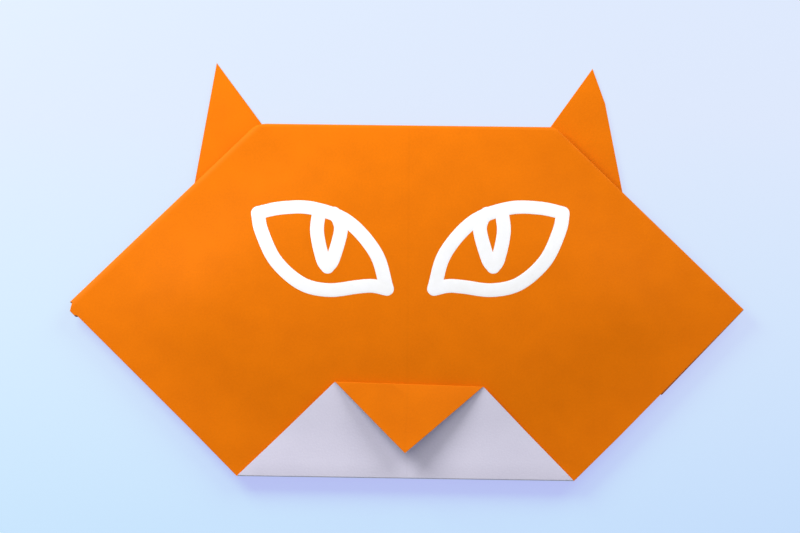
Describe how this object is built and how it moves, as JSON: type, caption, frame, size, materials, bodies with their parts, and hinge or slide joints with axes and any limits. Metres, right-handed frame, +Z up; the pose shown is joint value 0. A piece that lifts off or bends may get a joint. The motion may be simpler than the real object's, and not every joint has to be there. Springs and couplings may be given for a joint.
{
  "type": "origami cat face",
  "caption": "Folded-paper cat face of orange paper, white on its other side, with ears, a white muzzle, a raised orange nose and white outlined eyes, lying on its back",
  "frame": {"origin": "the middle of the bounding box's underside, on the surface that the face lies on", "axes": "+Z up, out of the face towards the viewer; +X to the viewer's right along the face's width; +Y to the top of the head"},
  "size_m": [0.1062, 0.0682, 0.0058],
  "materials": {
    "origami_paper": "matt coloured paper, orange on the outside and white on the inside",
    "eye_paint": "dried white marker paint"
  },
  "bodies": {
    "root": {"folded_sheet": "origami_paper", "left_eye_line": "eye_paint", "right_eye_line": "eye_paint"}
  },
  "joints": []
}
